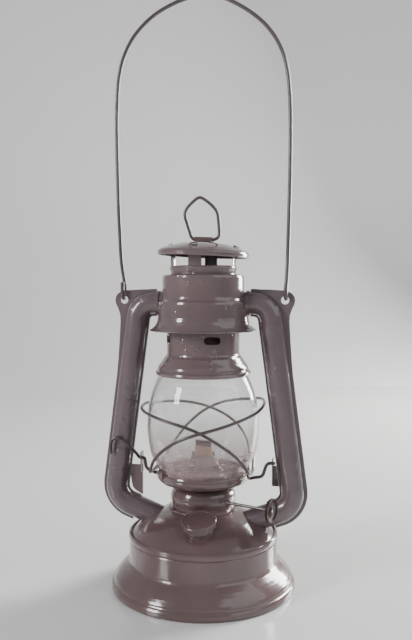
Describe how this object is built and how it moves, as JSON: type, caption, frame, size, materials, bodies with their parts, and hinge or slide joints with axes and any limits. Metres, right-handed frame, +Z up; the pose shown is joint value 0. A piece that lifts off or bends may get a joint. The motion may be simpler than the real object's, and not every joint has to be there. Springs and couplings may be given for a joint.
{
  "type": "oil lamp",
  "caption": "Tubular oil lamp with a round tank, two side air tubes, a lifting glass globe with a wire guard, a slotted chimney and a wire bail.",
  "frame": {"origin": "on the floor under the middle of the tank", "axes": "+Z up, +X to the lamp's right-hand tube, -Y to the front with the filler cap"},
  "size_m": [0.1476, 0.13, 0.4145],
  "materials": {
    "paint": "gloss taupe enamel",
    "steel": "plain tinned sheet",
    "brass": "dull",
    "glass": "clear",
    "cotton": "woven, charred at the top",
    "cork": "matt"
  },
  "bodies": {
    "frame": {"base_shell": "paint", "tank_floor": "steel", "tank_top": "paint", "filler_neck": "paint", "air_manifold": "steel", "burner_neck": "paint", "wick_tube": "brass", "lift_bracket_left": "paint", "lift_bracket_right": "paint", "left_tube_front": "paint", "left_tube_back": "paint", "right_tube_front": "paint", "right_tube_back": "paint", "drum": "paint"},
    "globe_carriage": {"globe_plate": "paint", "burner_cone": "paint", "globe_clips": "paint", "globe": "glass", "guard_wire_a": "paint", "guard_wire_b": "paint"},
    "lift_lever": {"lift_crank": "paint"},
    "chimney": {"chimney_skirt": "paint", "chimney_tube": "paint", "vent_cage": "paint", "cap": "paint", "ring_strap": "paint"},
    "pull_ring": {"finger_ring": "paint"},
    "bail": {"bail": "paint"},
    "wick_drive": {"wick_shaft": "steel", "spur_wheels": "brass", "wick_knob": "paint"},
    "wick": {"wick": "cotton"},
    "gasket": {"filler_gasket": "cork"},
    "filler_cap": {"filler_cap": "paint"}
  },
  "joints": [
    {"name": "carriage_lift", "type": "slide", "parent": "frame", "child": "globe_carriage", "axis": [0, 0, 1], "range_m": [0, 0.008]},
    {"name": "lever_turn", "type": "hinge", "parent": "frame", "child": "lift_lever", "pos_m": [0, 0, 0.0882], "axis": [1, 0, 0], "range_deg": [0, 16.1]},
    {"name": "chimney_lift", "type": "slide", "parent": "globe_carriage", "child": "chimney", "axis": [0, 0, 1], "range_m": [0, 0.01]},
    {"name": "ring_swing", "type": "hinge", "parent": "chimney", "child": "pull_ring", "pos_m": [0.00038, 0, 0.24479], "axis": [0.999, 0, -0.0436], "range_deg": [-75, 75]},
    {"name": "bail_swing", "type": "hinge", "parent": "frame", "child": "bail", "pos_m": [0, 0, 0.2069], "axis": [1, 0, 0], "range_deg": [-100, 100]},
    {"name": "knob_turn", "type": "hinge", "parent": "frame", "child": "wick_drive", "pos_m": [0.02588, -0.01636, 0.0628], "axis": [0.9348, -0.3551, 0], "range_deg": [-108, 216]},
    {"name": "wick_travel", "type": "slide", "parent": "frame", "child": "wick", "axis": [0, 0, 1], "range_m": [-0.008, 0.016]},
    {"name": "gasket_rise", "type": "slide", "parent": "frame", "child": "gasket", "axis": [-0.0573, -0.2696, 0.9613], "range_m": [0, 0.00401]},
    {"name": "cap_turn", "type": "hinge", "parent": "gasket", "child": "filler_cap", "pos_m": [0.00405, -0.03728, 0.0575], "axis": [-0.0573, -0.2696, 0.9613], "range_deg": [0, 720]}
  ],
  "couplings": [
    {"joint": "lever_turn", "follows": "carriage_lift", "rad_per_m": 34.9},
    {"joint": "wick_travel", "follows": "knob_turn", "m_per_rad": 0.0042},
    {"joint": "gasket_rise", "follows": "cap_turn", "m_per_rad": 0.000318}
  ]
}
